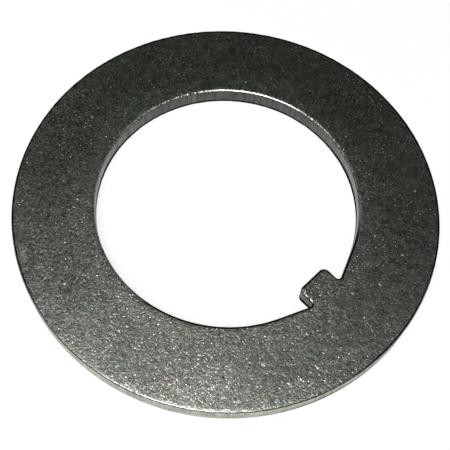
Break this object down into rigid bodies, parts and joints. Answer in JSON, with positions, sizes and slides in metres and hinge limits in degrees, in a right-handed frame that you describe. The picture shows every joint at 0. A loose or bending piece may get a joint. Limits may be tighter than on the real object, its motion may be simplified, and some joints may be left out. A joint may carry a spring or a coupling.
{
  "type": "bearing lock washer",
  "caption": "Flat steel ring with a square tab in its bore. The tab slides in a shaft's keyway, so the ring can't turn between a bearing and its locknut.",
  "frame": {"origin": "on the bore's axis, in the plane of the lower face, which the washer rests on", "axes": "+Z along the bore's axis, out of the upper face with the rolled-over edges; +X from the axis towards the middle of the tab; +Y across the tab"},
  "size_m": [0.0826, 0.0826, 0.0038],
  "materials": {
    "dark_steel": "hardened, darkened and oiled, tumbled, with fine bright specks, brownish mottling and bright worn edges"
  },
  "bodies": {
    "root": {"lock_washer": "dark_steel"}
  },
  "joints": []
}
